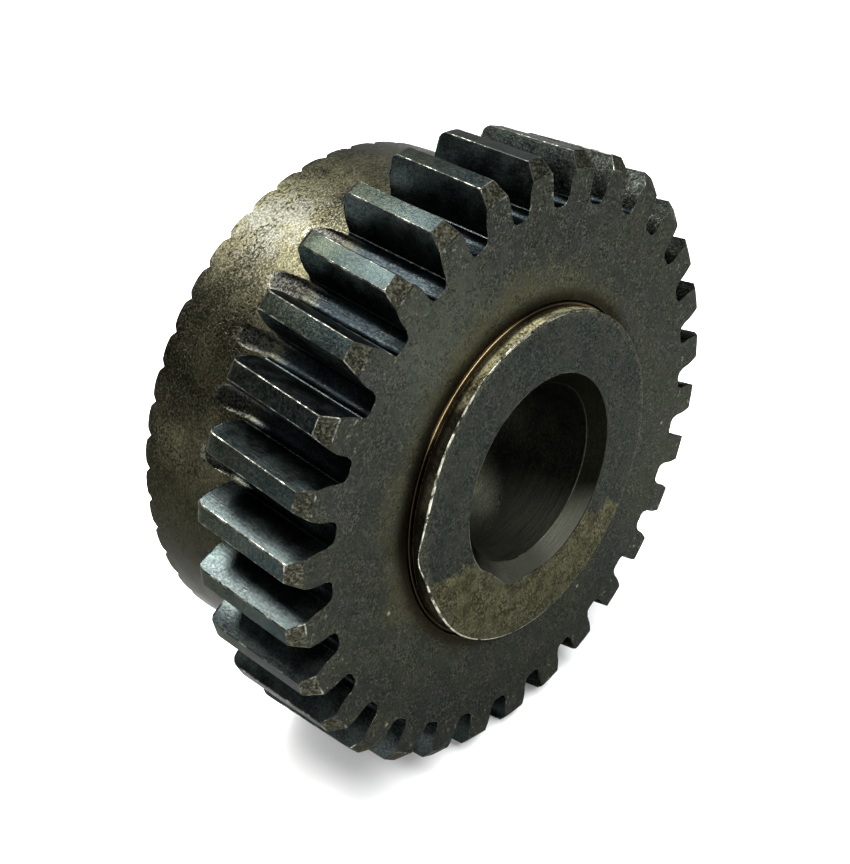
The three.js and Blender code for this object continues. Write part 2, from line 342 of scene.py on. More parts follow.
def gear_rows():
    """The wheel's rows, from the washer seat out over the face, teeth, drum and rim, and back in."""
    rows, bands = [], []
    seat = GEAR_FACE - WASHER_SEAT["depth"]

    def add(radius, angle, height, band):
        rows.append(polar_row(radius, angle, height))
        bands.append(band)

    face_tip = TIP_RADIUS - FRONT_CHAMFER["radial"]
    face_angle = outline(face_tip)[1]
    add(GEAR_BORE, face_angle, seat, FACE)
    add(WASHER_SEAT["radius"], face_angle, seat, FACE)
    for ring_radius in (WASHER_SEAT["radius"], *FACE_RADII):
        add(ring_radius, face_angle, GEAR_FACE, FACE)

    # Front chamfer, teeth and rounded rear corner: the tip radius follows the height
    chamfer_end = GEAR_FACE - FRONT_CHAMFER["axial"]
    rear_start = TEETH_REAR + REAR_CORNER["axial"]
    for share in CHAMFER_SHARES:
        height = GEAR_FACE - share * FRONT_CHAMFER["axial"]
        radius, angle = outline(face_tip + share * FRONT_CHAMFER["radial"])
        add(radius, twisted(angle, height), height, column_regions(FLOOR, CHAMFER))
    radius, angle = outline(TIP_RADIUS)
    for i in range(TOOTH_ROWS):
        height = chamfer_end + (rear_start - chamfer_end) * i / (TOOTH_ROWS - 1)
        add(radius, twisted(angle, height), height, column_regions(FLOOR, LAND))
    for turn in CORNER_TURNS:
        height = rear_start - REAR_CORNER["axial"] * math.sin(turn)
        radius, angle = outline(TIP_RADIUS - REAR_CORNER["radial"] * (1 - math.cos(turn)))
        add(radius, twisted(angle, height), height, column_regions(FLOOR, CHAMFER))

    # The teeth's rear ends, down to the drum, with a small fillet at the foot
    angle = twisted(angle, TEETH_REAR)
    for share, back in REAR_FOOT:
        down = np.where(radius > DRUM_RADIUS, radius + share * (DRUM_RADIUS - radius), radius)
        add(down, angle, TEETH_REAR - back, DRUM if share > 0.9 else column_regions(FLOOR, CHAMFER))

    # The drum: each tooth space runs out in it as the cutter lifts, then it is plain
    fillet = (radius - ROOT_RADIUS) * (DRUM_RADIUS - ROOT_RADIUS) / (ROOT_FILLET + ROOT_LEDGE["rise"])
    spaces = ROOT_RADIUS + fillet
    runout = math.sqrt(2 * HOB_RADIUS * (DRUM_RADIUS - ROOT_RADIUS)) + RUNOUT_SPARE
    foot_back = REAR_FOOT[-1][1]
    for i in range(1, RUNOUT_ROWS + 1):
        behind = foot_back + runout * i / RUNOUT_ROWS
        lift = behind ** 2 / (2 * HOB_RADIUS)
        add(np.minimum(DRUM_RADIUS, spaces + lift), angle, TEETH_REAR - behind, DRUM)
    drum_start = TEETH_REAR - foot_back - runout
    rim_angle, rim_share = rim_columns()
    for share in DRUM_SHARES:
        height = drum_start + share * (REAR - drum_start)
        add(DRUM_RADIUS, angle + share * (rim_angle - angle), height, DRUM)

    # The serrated rim, the cup and the bore
    for rim_radius in RIM_RADII:
        add(rim_radius, rim_angle, REAR + notch_depth(rim_share, rim_radius), CUP)
    add(CUP_RADIUS, rim_angle, CUP_WALL_TOP, CUP)
    for inward, up in CUP_CORNER:
        add(CUP_RADIUS - inward, rim_angle, CUP_FLOOR + up, CUP)
    add(CUP_FLOOR_RADIUS, rim_angle, CUP_FLOOR, CUP)
    add(GEAR_BORE, rim_angle, CUP_FLOOR, CUP)
    for share in BORE_SHARES:
        height = CUP_FLOOR + share * (seat - CUP_FLOOR)
        add(GEAR_BORE, rim_angle + share * (face_angle - rim_angle), height, CUP)
    return rows, bands


# ---- turned pieces ----

TURNED_COLUMNS = 288
WALL_MIDDLE = FRONT - 1.2
BOSS_FACE_RADII = (24.0, 21.5, 19.0)
BORE_HEIGHTS = (8.0, -3.0)


def turned(name, profile, slots, materials, edge_width, shape=None):
    """A ring turned from a closed profile of (radius, height), with a material slot for each side."""
    angle = np.linspace(0, 2 * math.pi, TURNED_COLUMNS, endpoint=False)
    rows = []
    for point in profile:
        radii = np.full(TURNED_COLUMNS, point[0])
        heights = np.full(TURNED_COLUMNS, point[1])
        if shape:
            radii, heights = shape(point, angle, radii, heights)
        rows.append(polar_row(radii, angle, heights))
    return grid_object(name, rows, slots, materials, edge_width)


def ring_profile(node, inner):
    """A plain ring's profile, from its node's box."""
    low, high = frame_mm(node)
    outer, front, rear = high[0], -low[1], -high[1]
    return [(inner, front), (outer, front), (outer, rear), (inner, rear)]


def sleeve_profile():
    """The sleeve's profile, forward along its outside and back through its bore, and its slots."""
    rear = [(BORE_RADIUS + REAR_BORE_CHAMFER, SLEEVE_REAR), (SLEEVE_RADIUS, SLEEVE_REAR)]
    barrel = [
        (SLEEVE_RADIUS, GROOVE["rear"]),
        (GROOVE["radius"], GROOVE["rear"]),
        (GROOVE["radius"], GROOVE["front"]),
        (SLEEVE_RADIUS, GROOVE["front"]),
        (SLEEVE_RADIUS, FLANGE_BACK),
    ]
    wall = [(BOSS_RADIUS, FLANGE_BACK), (BOSS_RADIUS, WALL_MIDDLE)]
    face = [BOSS_RIM, *[(radius, FRONT) for radius in BOSS_FACE_RADII]]
    bore = [BORE_RIM, (BORE_RADIUS, FRONT - BORE_CHAMFER)]
    bore += [(BORE_RADIUS, height) for height in (*BORE_HEIGHTS, SLEEVE_REAR + REAR_BORE_CHAMFER)]
    stretches = (rear + barrel, wall, face, bore)
    slots = [slot for slot, stretch in enumerate(stretches) for point in stretch]
    return [point for stretch in stretches for point in stretch], slots


def nicked(point, angle, radii, heights):
    """Dents and burrs in the boss's rim, and the bore's rim pulled out to a corner at one place."""
    def near(place, width):
        away = (angle - place * DEGREE + math.pi) % (2 * math.pi) - math.pi
        return np.abs(away) / (width * DEGREE)

    def swelling(place, width, depth):
        return depth * np.exp(-near(place, width) ** 2)

    if point == BOSS_RIM:
        for mark in RIM_DENTS:
            radii = radii - swelling(*mark)
            heights = heights - DENT_DROP * swelling(*mark)
        for mark in RIM_BURRS:
            radii = radii + swelling(*mark)
    if point == BORE_RIM:
        place, width, height = BORE_CORNER
        radii = radii + height * np.maximum(0, 1 - near(place, width))
        for mark in BORE_FLATS:
            radii = radii - swelling(*mark)
    return radii, heights


# Points along the ring's long arcs, along its lugs and round its eyes
RING_STEPS = 140
LUG_STEPS = 12
EYE_STEPS = 33


def retaining_ring(material):
    """A C-shaped spring ring with two plier lugs, cut from plate."""
    def arc(radius, start, end, steps):
        turns = np.linspace(start, end, steps)
        return [(radius * math.cos(t), radius * math.sin(t)) for t in turns]

    full = 2 * math.pi
    half, lug = RING_GAP["half"], RING_GAP["lug"]
    edge = arc(RING["outer"], lug, full - lug, RING_STEPS)
    edge += arc(RING["lug"], full - lug, full - half, LUG_STEPS)
    edge += arc(RING["inner"], full - half, half, RING_STEPS)
    edge += arc(RING["lug"], half, lug, LUG_STEPS)
    loops = [edge]
    eye = arc(RING_GAP["eye"], 0, full, EYE_STEPS)[:-1]
    eye_radius = (RING["inner"] + RING["lug"]) / 2
    for side in (1, -1):
        turn = side * (half + lug) / 2
        middle_x = eye_radius * math.cos(turn)
        middle_y = eye_radius * math.sin(turn)
        loops.append([(middle_x + x, middle_y + y) for x, y in eye])
    curve = bpy.data.curves.new("retaining_ring_outline", "CURVE")
    curve.dimensions = "2D"
    curve.fill_mode = "BOTH"
    curve.extrude = ((RING["front"] - RING["rear"]) / 2 - RING["rounding"]) * MM
    curve.bevel_depth = RING["rounding"] * MM
    curve.bevel_resolution = 2
    curve.offset = -RING["rounding"] * MM
    for loop in loops:
        spline = curve.splines.new("POLY")
        spline.points.add(len(loop) - 1)
        for point, (x, y) in zip(spline.points, loop):
            point.co = (x * MM, y * MM, 0, 1)
        spline.use_cyclic_u = True
    outline_object = bpy.data.objects.new("retaining_ring_outline", curve)
    bpy.context.scene.collection.objects.link(outline_object)
    graph = bpy.context.evaluated_depsgraph_get()
    mesh = bpy.data.meshes.new_from_object(outline_object.evaluated_get(graph))
    bpy.data.objects.remove(outline_object)

    # The ring is laid with its axis on Y, in its groove, and its seams are closed
    middle = (RING["front"] + RING["rear"]) / 2
    for vertex in mesh.vertices:
        x, y, z = vertex.co
        vertex.co = (x, -(z + middle * MM), y)
    form = bmesh.new()
    form.from_mesh(mesh)
    bmesh.ops.remove_doubles(form, verts=form.verts, dist=1e-6)
    bmesh.ops.recalc_face_normals(form, faces=form.faces)
    form.to_mesh(mesh)
    form.free()
    mesh.materials.clear()
    mesh.materials.append(material)
    piece = bpy.data.objects.new("retaining_ring_fine", mesh)
    bpy.context.scene.collection.objects.link(piece)
    return piece


# ---- materials ----

class Shader:
    """A node material made by short calls, most of which give back an output socket.

    Its x, y, z and radius are in millimetres in the frame, where the gear's front looks towards -Y.
    """

    def __init__(self, name):
        self.material = bpy.data.materials.new(name)
        self.material.use_nodes = True
        self.nodes = self.material.node_tree.nodes
        self.links = self.material.node_tree.links
        self.nodes.clear()
        place = self.nodes.new("ShaderNodeTexCoord").outputs["Object"]
        self.place = self.vector("MULTIPLY", place, (1 / MM, 1 / MM, 1 / MM))
        split = self.nodes.new("ShaderNodeSeparateXYZ")
        self.links.new(self.place, split.inputs[0])
        self.x, self.y, self.z = split.outputs
        squares = self.math("ADD", self.part(self.x, self.x), self.part(self.z, self.z))
        self.radius = self.math("SQRT", squares)
        self.angle = self.math("ARCTAN2", self.z, self.x)

    def put(self, node, key, value):
        """Links a socket to a node's input, or sets the input to a number or colour."""
        if isinstance(value, bpy.types.NodeSocket):
            self.links.new(value, node.inputs[key])
        else:
            node.inputs[key].default_value = value

    def math(self, operation, a, b=0.0):
        node = self.nodes.new("ShaderNodeMath")
        node.operation = operation
        self.put(node, 0, a)
        self.put(node, 1, b)
        return node.outputs[0]

    def part(self, value, share):
        """A share of a value, or the product of two masks."""
        return self.math("MULTIPLY", value, share)

    def vector(self, operation, a, b):
        node = self.nodes.new("ShaderNodeVectorMath")
        node.operation = operation
        self.put(node, 0, a)
        self.put(node, 1, b)
        return node.outputs[0]

    def length(self, vector):
        node = self.nodes.new("ShaderNodeVectorMath")
        node.operation = "LENGTH"
        self.put(node, 0, vector)
        return node.outputs["Value"]

    def point(self, x, y, z):
        node = self.nodes.new("ShaderNodeCombineXYZ")
        for key, value in enumerate((x, y, z)):
            self.put(node, key, value)
        return node.outputs[0]

    def noise(self, vector, scale, detail=3.0, roughness=0.55):
        node = self.nodes.new("ShaderNodeTexNoise")
        self.put(node, "Vector", vector)
        self.put(node, "Scale", scale)
        self.put(node, "Detail", detail)
        self.put(node, "Roughness", roughness)
        return node.outputs[0]

    def cells(self, vector, scale):
        """The distance to the nearest of many scattered points."""
        node = self.nodes.new("ShaderNodeTexVoronoi")
        self.put(node, "Vector", vector)
        self.put(node, "Scale", scale)
        return node.outputs["Distance"]

    def span(self, value, low, high, to_low=0.0, to_high=1.0):
        """Maps low..high to to_low..to_high smoothly, and holds it outside."""
        node = self.nodes.new("ShaderNodeMapRange")
        node.interpolation_type = "SMOOTHSTEP"
        for key, number in enumerate((value, low, high, to_low, to_high)):
            self.put(node, key, number)
        return node.outputs[0]

    def mix(self, share, a, b):
        """Goes from colour a to colour b as the share goes from 0 to 1."""
        node = self.nodes.new("ShaderNodeMix")
        node.data_type = "RGBA"
        self.put(node, "Factor", share)
        for key, value in (("A", a), ("B", b)):
            socket = next(s for s in node.inputs if s.name == key and s.type == "RGBA")
            if isinstance(value, bpy.types.NodeSocket):
                self.links.new(value, socket)
            else:
                socket.default_value = (*value, 1.0)
        return next(s for s in node.outputs if s.type == "RGBA")

    def speckled(self, colour, light, dark, share=0.6, scale=2.6):
        """Breaks a colour up with fine light and dark grain. Gives the colour and the grain."""
        grain = self.noise(self.place, scale, 3.0, 0.7)
        colour = self.mix(self.part(self.span(grain, 0.51, 0.61), share), colour, light)
        colour = self.mix(self.part(self.span(grain, 0.49, 0.39), share), colour, dark)
        return colour, grain

    def along_axis(self, fine, coarse):
        """Coordinates that vary quickly round the axis and slowly along it."""
        return self.point(self.part(self.x, fine), self.part(self.y, coarse), self.part(self.z, fine))

    def turning(self, value, fine, coarse):
        """Coordinates of turning marks: quick across value, slow round the axis."""
        return self.point(
            self.part(value, fine),
            self.part(self.math("COSINE", self.angle), coarse),
            self.part(self.math("SINE", self.angle), coarse),
        )

    def finish(self, colour, roughness, height, depth_mm, metallic=1.0, grazing=0.5):
        """The finished material. Grazing tints what a metal reflects at a low angle."""
        surface = self.nodes.new("ShaderNodeBsdfPrincipled")
        self.put(surface, "Base Color", colour)
        self.put(surface, "Roughness", roughness)
        surface.inputs["Metallic"].default_value = metallic
        surface.inputs["Specular Tint"].default_value = (grazing, grazing, grazing, 1.0)
        bump = self.nodes.new("ShaderNodeBump")
        bump.inputs["Strength"].default_value = 1.0
        bump.inputs["Distance"].default_value = depth_mm * MM
        self.put(bump, "Height", height)
        self.links.new(bump.outputs[0], surface.inputs["Normal"])
        output = self.nodes.new("ShaderNodeOutputMaterial")
        self.links.new(surface.outputs[0], output.inputs[0])
        return self.material


def flank_steel():
    """Blue-black oxide, polished by the mating teeth, with fine marks along the flank."""
    s = Shader("flank_steel")
    marks = s.noise(s.along_axis(5.0, 0.35), 1.0, 4.0)
    cloud = s.noise(s.place, 0.3, 4.0)
    colour = s.mix(s.span(cloud, 0.35, 0.65), (0.018, 0.022, 0.023), (0.031, 0.041, 0.04))
    colour = s.mix(s.part(s.span(marks, 0.55, 0.75), 0.5), colour, (0.049, 0.06, 0.051))
    colour = s.mix(s.part(s.span(s.radius, 46.0, 42.4), 0.6), colour, (0.007, 0.009, 0.01))

    # Painted shade: the flanks to the right are painted blacker. They are also mottled, in roughness and
    # bumps.
    right = s.span(s.x, -4.0, 18.0)
    colour = s.mix(s.part(right, 0.85), colour, (0.008, 0.008, 0.006))
    colour, grain = s.speckled(colour, (0.055, 0.061, 0.051), (0.003, 0.005, 0.005), 0.4)
    mottles = s.span(s.noise(s.place, 0.9, 4.0, 0.65), 0.4, 0.62)
    rough = s.span(s.math("ADD", cloud, marks), 0.7, 1.3, 0.28, 0.44)
    rough = s.math("ADD", rough, s.part(s.part(mottles, right), 0.3))
    height = s.math("ADD", marks, s.part(grain, s.span(right, 0.0, 1.0, 0.6, 2.4)))
    return s.finish(colour, rough, height, 0.03, grazing=0.26)


def land_steel():
    """Ground tooth tops, grey-blue towards the front and browner at the back, with an even grain."""
    s = Shader("land_steel")
    marks = s.noise(s.along_axis(6.0, 0.5), 1.0, 3.0)
    cloud = s.noise(s.place, 0.28, 4.0)
    back = s.span(s.math("ADD", s.y, s.part(cloud, 14.0)), -6.0, 6.0)
    blue = s.mix(s.span(cloud, 0.35, 0.68), (0.012, 0.017, 0.018), (0.019, 0.027, 0.028))
    brown = s.mix(s.span(cloud, 0.35, 0.68), (0.013, 0.016, 0.012), (0.023, 0.027, 0.021))
    colour = s.mix(back, blue, brown)
    colour, grain = s.speckled(colour, (0.042, 0.048, 0.036), (0.004, 0.006, 0.004), 0.5)

    # Painted shade: darker to the right and at the bottom
    colour = s.mix(s.part(s.span(s.x, 5.0, 20.0), 0.75), colour, (0.01, 0.009, 0.007))
    colour = s.mix(s.part(s.span(s.z, -15.0, -22.0), 0.85), colour, (0.006, 0.008, 0.005))
    height = s.math("ADD", grain, s.part(marks, 0.4))
    return s.finish(colour, s.span(grain, 0.3, 0.7, 0.3, 0.46), height, 0.045)


def chamfer_steel():
    """Turned tooth ends, brown and grainy."""
    s = Shader("chamfer_steel")
    cloud = s.noise(s.place, 0.5)
    colour = s.mix(s.span(cloud, 0.35, 0.65), (0.019, 0.019, 0.014), (0.034, 0.034, 0.024))
    colour, grain = s.speckled(colour, (0.084, 0.083, 0.055), (0.006, 0.006, 0.005), 0.8)
    return s.finish(colour, s.span(cloud, 0.3, 0.7, 0.42, 0.6), grain, 0.06)


def face_steel():
    """The dark flat front face: faintly turned, oil-stained round the boss, with a few bright nicks."""
    s = Shader("face_steel")
    rings = s.noise(s.turning(s.radius, 3.6, 3.0), 1.0, 4.0, 0.6)
    cloud = s.noise(s.place, 0.1, 4.0)
    colour = s.mix(s.span(cloud, 0.35, 0.65), (0.018, 0.02, 0.018), (0.028, 0.03, 0.023))
    colour = s.mix(s.part(s.span(rings, 0.5, 0.72), 0.3), colour, (0.037, 0.04, 0.031))

    # A painted sheen at the upper left, and an oil stain round the boss that is wider towards the upper
    # left
    sheen_spot = s.vector("SUBTRACT", s.place, (SHEEN_SPOT[0], -GEAR_FACE, SHEEN_SPOT[1]))
    sheen_spot = s.math("ADD", s.length(sheen_spot), s.part(s.noise(s.place, 0.2, 3.0), 14.0))
    colour = s.mix(s.part(s.span(sheen_spot, 24.0, 9.0), 0.55), colour, (0.052, 0.06, 0.049))
    towards = s.part(s.math("SUBTRACT", s.z, s.x), 0.707)
    reach = s.math("ADD", s.radius, s.part(s.noise(s.place, 0.2, 5.0, 0.65), -13.0))
    reach = s.math("SUBTRACT", reach, s.part(s.span(towards, 8.0, 24.0), 2.0))
    reach = s.math("ADD", reach, s.part(s.span(towards, 16.0, -8.0), 3.5))
    colour = s.mix(s.part(s.span(reach, 26.5, 21.5), 0.7), colour, (0.05, 0.047, 0.026))

    # Smudges and grain, and dirt with painted shade in the corner at the boss's foot
    smudge = s.noise(s.place, 0.3, 4.0, 0.6)
    colour = s.mix(s.part(s.span(smudge, 0.54, 0.66), 0.5), colour, (0.034, 0.032, 0.033))
    colour = s.mix(s.part(s.span(smudge, 0.46, 0.34), 0.5), colour, (0.017, 0.022, 0.017))
    share = s.span(s.noise(s.place, 0.4, 3.0), 0.35, 0.65, 0.2, 0.75)
    colour, grain = s.speckled(colour, (0.067, 0.072, 0.052), (0.004, 0.004, 0.003), share, 3.2)
    corner_dirt_and_shade = s.span(s.radius, BOSS_RADIUS + 3.6, BOSS_RADIUS + 1.0)
    colour = s.mix(s.part(corner_dirt_and_shade, 0.85), colour, (0.009, 0.007, 0.004))

    # Bright nicks in the face, and bright burrs along the tooth spaces' ends
    nicks = s.span(s.cells(s.place, 0.17), 0.075, 0.03)
    nicks = s.part(nicks, s.span(s.noise(s.place, 0.1), 0.49, 0.55))
    colour = s.mix(nicks, colour, (0.179, 0.179, 0.12))
    burrs = s.span(s.noise(s.place, 0.9, 4.0, 0.7), 0.59, 0.67)
    burrs = s.part(s.span(s.radius, ROOT_RADIUS - 0.7, ROOT_RADIUS + 0.6), burrs)
    colour = s.mix(s.part(burrs, 0.7), colour, (0.152, 0.164, 0.12))
    height = s.math("ADD", s.part(rings, 0.5), grain)
    return s.finish(colour, s.span(cloud, 0.3, 0.7, 0.44, 0.58), height, 0.035)


def drum_steel():
    """The drum's rubbed skin, gold to brown and pitted, painted shade down its sides, and the cutter's
    run-outs darker.
    """
    s = Shader("drum_steel")
    rings = s.noise(s.turning(s.y, 2.8, 2.5), 1.0, 4.0, 0.6)
    cloud = s.noise(s.place, 0.12, 5.0, 0.6)
    colour = s.mix(s.span(cloud, 0.38, 0.62), (0.018, 0.017, 0.011), (0.05, 0.047, 0.027))

    # A greyer scuff that also paints in the highlight, darker turning marks and gathered pits
    scuff_and_highlight = s.length(s.vector("SUBTRACT", s.place, SCUFF_AND_HIGHLIGHT))
    scuff_and_highlight = s.math("ADD", scuff_and_highlight, s.part(s.noise(s.place, 0.3, 4.0, 0.6), 22.0))
    colour = s.mix(s.part(s.span(scuff_and_highlight, 19.0, 13.0), 0.6), colour, (0.068, 0.07, 0.066))
    colour = s.mix(s.part(s.span(rings, 0.52, 0.34), 0.5), colour, (0.015, 0.014, 0.008))
    gathered = s.span(s.noise(s.place, 0.15, 4.0), 0.4, 0.58)
    pits = s.part(s.span(s.noise(s.place, 1.9, 3.0, 0.6), 0.49, 0.39), gathered)
    colour = s.mix(s.part(pits, 0.92), colour, (0.004, 0.003, 0.002))
    colour, grain = s.speckled(colour, (0.098, 0.094, 0.062), (0.006, 0.006, 0.004), 0.6, 3.0)

    # Painted shade: darker down the sides, away from the crest that faces up and to the left, where the
    # highlight falls.
    towards_highlight = s.math("ADD", s.part(s.x, -0.47), s.part(s.z, 0.88))
    painted_side_shade = s.math("ADD", towards_highlight, s.part(cloud, 12.0))
    colour = s.mix(s.part(s.span(painted_side_shade, 42.0, 28.0), 0.8), colour, (0.005, 0.005, 0.003))

    # The cutter's run-outs lie below the drum's surface. They are darker, with a broken bright lip.
    bare = s.mix(s.span(grain, 0.42, 0.6), (0.004, 0.004, 0.003), (0.029, 0.029, 0.025))
    colour = s.mix(s.span(s.radius, DRUM_RADIUS - 0.03, DRUM_RADIUS - 0.05), colour, bare)
    lip = s.part(
        s.span(s.radius, DRUM_RADIUS - 0.06, DRUM_RADIUS - 0.035),
        s.span(s.radius, DRUM_RADIUS - 0.004, DRUM_RADIUS - 0.016),
    )
    broken = s.part(s.span(grain, 0.4, 0.56), s.span(cloud, 0.42, 0.58))
    colour = s.mix(s.part(lip, broken), colour, (0.098, 0.099, 0.084))
    height = s.math("ADD", grain, s.part(rings, 0.3))
    height = s.math("SUBTRACT", height, s.part(pits, 0.6))
    return s.finish(colour, s.span(cloud, 0.3, 0.7, 0.32, 0.41), height, 0.035)


def floor_steel():
    """The tooth spaces' floors and fillets: hobbed, steel-blue, browner near the drum."""
    s = Shader("floor_steel")
    marks = s.noise(s.along_axis(4.0, 0.4), 1.0, 4.0)
    scallops = s.noise(s.turning(s.y, 1.6, 1.0), 1.0, 2.0)
    cloud = s.noise(s.place, 0.2, 3.0)
    colour = s.mix(s.span(cloud, 0.35, 0.65), (0.008, 0.011, 0.013), (0.014, 0.02, 0.024))
    colour = s.mix(s.part(s.span(marks, 0.52, 0.75), 0.4), colour, (0.034, 0.042, 0.044))
    along = s.math("ADD", s.y, s.part(marks, 3.0))
    colour = s.mix(s.span(along, -0.8, 2.4), colour, (0.021, 0.021, 0.015))
    colour, grain = s.speckled(colour, (0.034, 0.038, 0.034), (0.004, 0.004, 0.004))
    # Painted shade: the floors are darker towards the front face
    front = s.span(along, -12.5, -15.5)
    colour = s.mix(s.part(front, 0.8), colour, (0.003, 0.004, 0.004))
    height = s.math("ADD", s.math("ADD", marks, s.part(scallops, 0.6)), s.part(grain, 0.6))
    return s.finish(colour, s.span(cloud, 0.3, 0.7, 0.3, 0.46), height, 0.035, grazing=0.25)


def machined_steel(name):
    """Bare turned steel, for the wheel's rear rim and cup and for the sleeve's barrel."""
    s = Shader(name)
    rings = s.noise(s.turning(s.radius, 4.0, 2.0), 1.0, 4.0, 0.6)
    cloud = s.noise(s.place, 0.15, 4.0)
    colour = s.mix(s.span(cloud, 0.35, 0.68), (0.032, 0.032, 0.028), (0.065, 0.062, 0.05))
    colour = s.mix(s.part(s.span(rings, 0.5, 0.72), 0.4), colour, (0.103, 0.1, 0.086))
    colour, grain = s.speckled(colour, (0.13, 0.124, 0.097), (0.013, 0.013, 0.011), 0.26, 3.2)
    height = s.math("ADD", s.part(rings, 0.6), s.part(grain, 0.7))
    return s.finish(colour, s.span(cloud, 0.3, 0.7, 0.34, 0.5), height, 0.04)


def worn_edge(name, bright, dull, share=0.5, inner=0.0):
    """An edge rubbed to bright metal where dark skin doesn't cover it. Given a radius, it is duller
    inside it, and painted shade dulls it to the right.
    """
    s = Shader(name)
    patches = s.noise(s.place, 0.45, 5.0, 0.7)
    fine = s.noise(s.place, 4.0, 3.0)
    bare = s.span(s.math("ADD", patches, s.part(fine, 0.25)), share + 0.06, share + 0.26)
    if inner:
        # Painted shade: the edge is dulled to the right
        painted_side_shade = s.span(s.x, 14.0, -6.0, 0.1, 1.0)
        bare = s.part(s.part(bare, painted_side_shade), s.span(s.radius, inner - 1.0, inner + 1.0, 0.12, 1.0))
    colour = s.mix(bare, dull, bright)
    return s.finish(colour, s.span(bare, 0.0, 1.0, 0.45, 0.3), fine, 0.03)


def boss_steel():
    """The boss's ground face: grey-blue, scuffed, with an olive-brown patch over its lower part."""
    s = Shader("boss_steel")
    rings = s.noise(s.turning(s.radius, 3.0, 2.5), 1.0, 4.0, 0.6)
    cloud = s.noise(s.place, 0.14, 4.0)
    colour = s.mix(s.span(cloud, 0.35, 0.65), (0.015, 0.018, 0.016), (0.024, 0.027, 0.022))
    down = s.math("ADD", s.part(s.x, math.cos(PATCH["side"])), s.part(s.z, math.sin(PATCH["side"])))
    ragged = s.math("SUBTRACT", s.noise(s.place, 0.3, 5.0, 0.65), 0.5)
    down = s.math("ADD", down, s.part(ragged, -12.0))
    patch = s.span(down, PATCH["edge"] - 0.8, PATCH["edge"] + 0.8)

    # Inside the patch the skin is brown and blotched, with brighter flecks
    blotch = s.span(s.noise(s.place, 0.45, 4.0), 0.38, 0.62)
    brown = s.mix(blotch, (0.03, 0.028, 0.014), (0.058, 0.056, 0.031))
    colour = s.mix(s.part(patch, 0.9), colour, brown)
    fleck = s.mix(patch, (0.045, 0.049, 0.039), (0.11, 0.107, 0.062))
    smudge = s.noise(s.place, 0.35, 4.0, 0.6)
    colour = s.mix(s.part(s.span(smudge, 0.54, 0.66), 0.45), colour, (0.04, 0.036, 0.034))
    share = s.span(s.noise(s.place, 0.4, 3.0), 0.35, 0.65, 0.3, 0.8)
    colour, grain = s.speckled(colour, fleck, (0.005, 0.006, 0.005), share, 3.0)
    rim = s.span(s.radius, BOSS_RADIUS - 1.4, BOSS_RADIUS - 0.2)
    rim = s.part(rim, s.span(grain, 0.42, 0.6))
    colour = s.mix(s.part(rim, 0.6), colour, (0.07, 0.07, 0.049))
    height = s.math("ADD", s.part(rings, 0.4), grain)
    return s.finish(colour, s.span(cloud, 0.3, 0.7, 0.42, 0.55), height, 0.05)


def wall_steel():
    """The boss's side wall: a painted golden highlight over the top, brown-black down its sides and at
    its foot.
    """
    s = Shader("wall_steel")
    cloud = s.noise(s.place, 0.3, 4.0)
    dark = s.mix(s.span(cloud, 0.35, 0.65), (0.014, 0.012, 0.008), (0.04, 0.036, 0.024))
    # Painted highlight: gold, with bright flecks, over the wall's top
    gold_highlight = s.mix(s.span(cloud, 0.4, 0.6), (0.4, 0.35, 0.15), (0.95, 0.88, 0.5))
    top = s.span(s.math("ADD", s.z, s.part(s.noise(s.place, 0.5, 4.0), 6.0)), 21.0, 26.0)
    fleck = s.mix(top, (0.05, 0.045, 0.03), (0.95, 0.93, 0.75))
    colour, grain = s.speckled(s.mix(top, dark, gold_highlight), fleck, (0.012, 0.01, 0.006), 0.7)
    foot = s.math("ADD", s.y, s.part(grain, 0.9))
    foot = s.span(foot, -FLANGE_BACK - 0.7, -FLANGE_BACK - 0.1)
    colour = s.mix(s.part(foot, 0.9), colour, (0.012, 0.009, 0.005))
    return s.finish(colour, s.span(grain, 0.3, 0.7, 0.42, 0.58), grain, 0.06)


def bore_steel():
    """The sleeve's bore and its chamfers, dark and honed."""
    s = Shader("bore_steel")
    rings = s.noise(s.turning(s.y, 4.0, 2.0), 1.0, 3.0)
    cloud = s.noise(s.place, 0.3, 3.0)
    colour = s.mix(s.span(cloud, 0.3, 0.7), (0.006, 0.007, 0.005), (0.011, 0.012, 0.008))
    colour, grain = s.speckled(colour, (0.03, 0.03, 0.021), (0.002, 0.002, 0.002), 0.35)

    # The front chamfer is blacker, but not at its bottom, where the bore's front end is painted lighter
    # as a painted highlight
    chamfer_end = BORE_CHAMFER - FRONT
    chamfer = s.part(s.span(s.y, chamfer_end + 0.2, chamfer_end - 0.2), s.span(s.z, -13.0, -7.0))
    colour = s.mix(s.part(chamfer, 0.8), colour, (0.002, 0.002, 0.001))
    low = s.part(s.span(s.z, -7.0, -13.0), s.span(s.y, 0.0, -12.0))
    colour = s.mix(s.part(low, 0.6), colour, (0.085, 0.086, 0.067))
    return s.finish(colour, s.span(rings, 0.3, 0.7, 0.44, 0.58), s.math("ADD", rings, grain), 0.03)


def bronze(name, dark, light, painted_highlight_upper_left=False):
    """Turned bronze, tarnished in places, or tarnished everywhere but for a painted highlight at its
    upper left.
    """
    s = Shader(name)
    rings = s.noise(s.turning(s.radius, 5.0, 2.0), 1.0, 4.0)
    cloud = s.noise(s.place, 0.2, 4.0)
    worn = s.span(cloud, 0.3, 0.6, 0.35, 1.0)
    if painted_highlight_upper_left:
        # Painted highlight: the bright bronze is kept only high and to the left
        high = s.span(s.math("ADD", s.z, s.part(cloud, 16.0)), 19.0, 28.0)
        worn = s.part(high, s.span(s.x, 0.0, -9.0, 0.15, 1.0))
    colour = s.mix(worn, dark, light)
    colour = s.mix(s.part(s.span(rings, 0.5, 0.3), 0.4), colour, dark)
    return s.finish(colour, s.span(cloud, 0.3, 0.7, 0.3, 0.46), rings, 0.02)


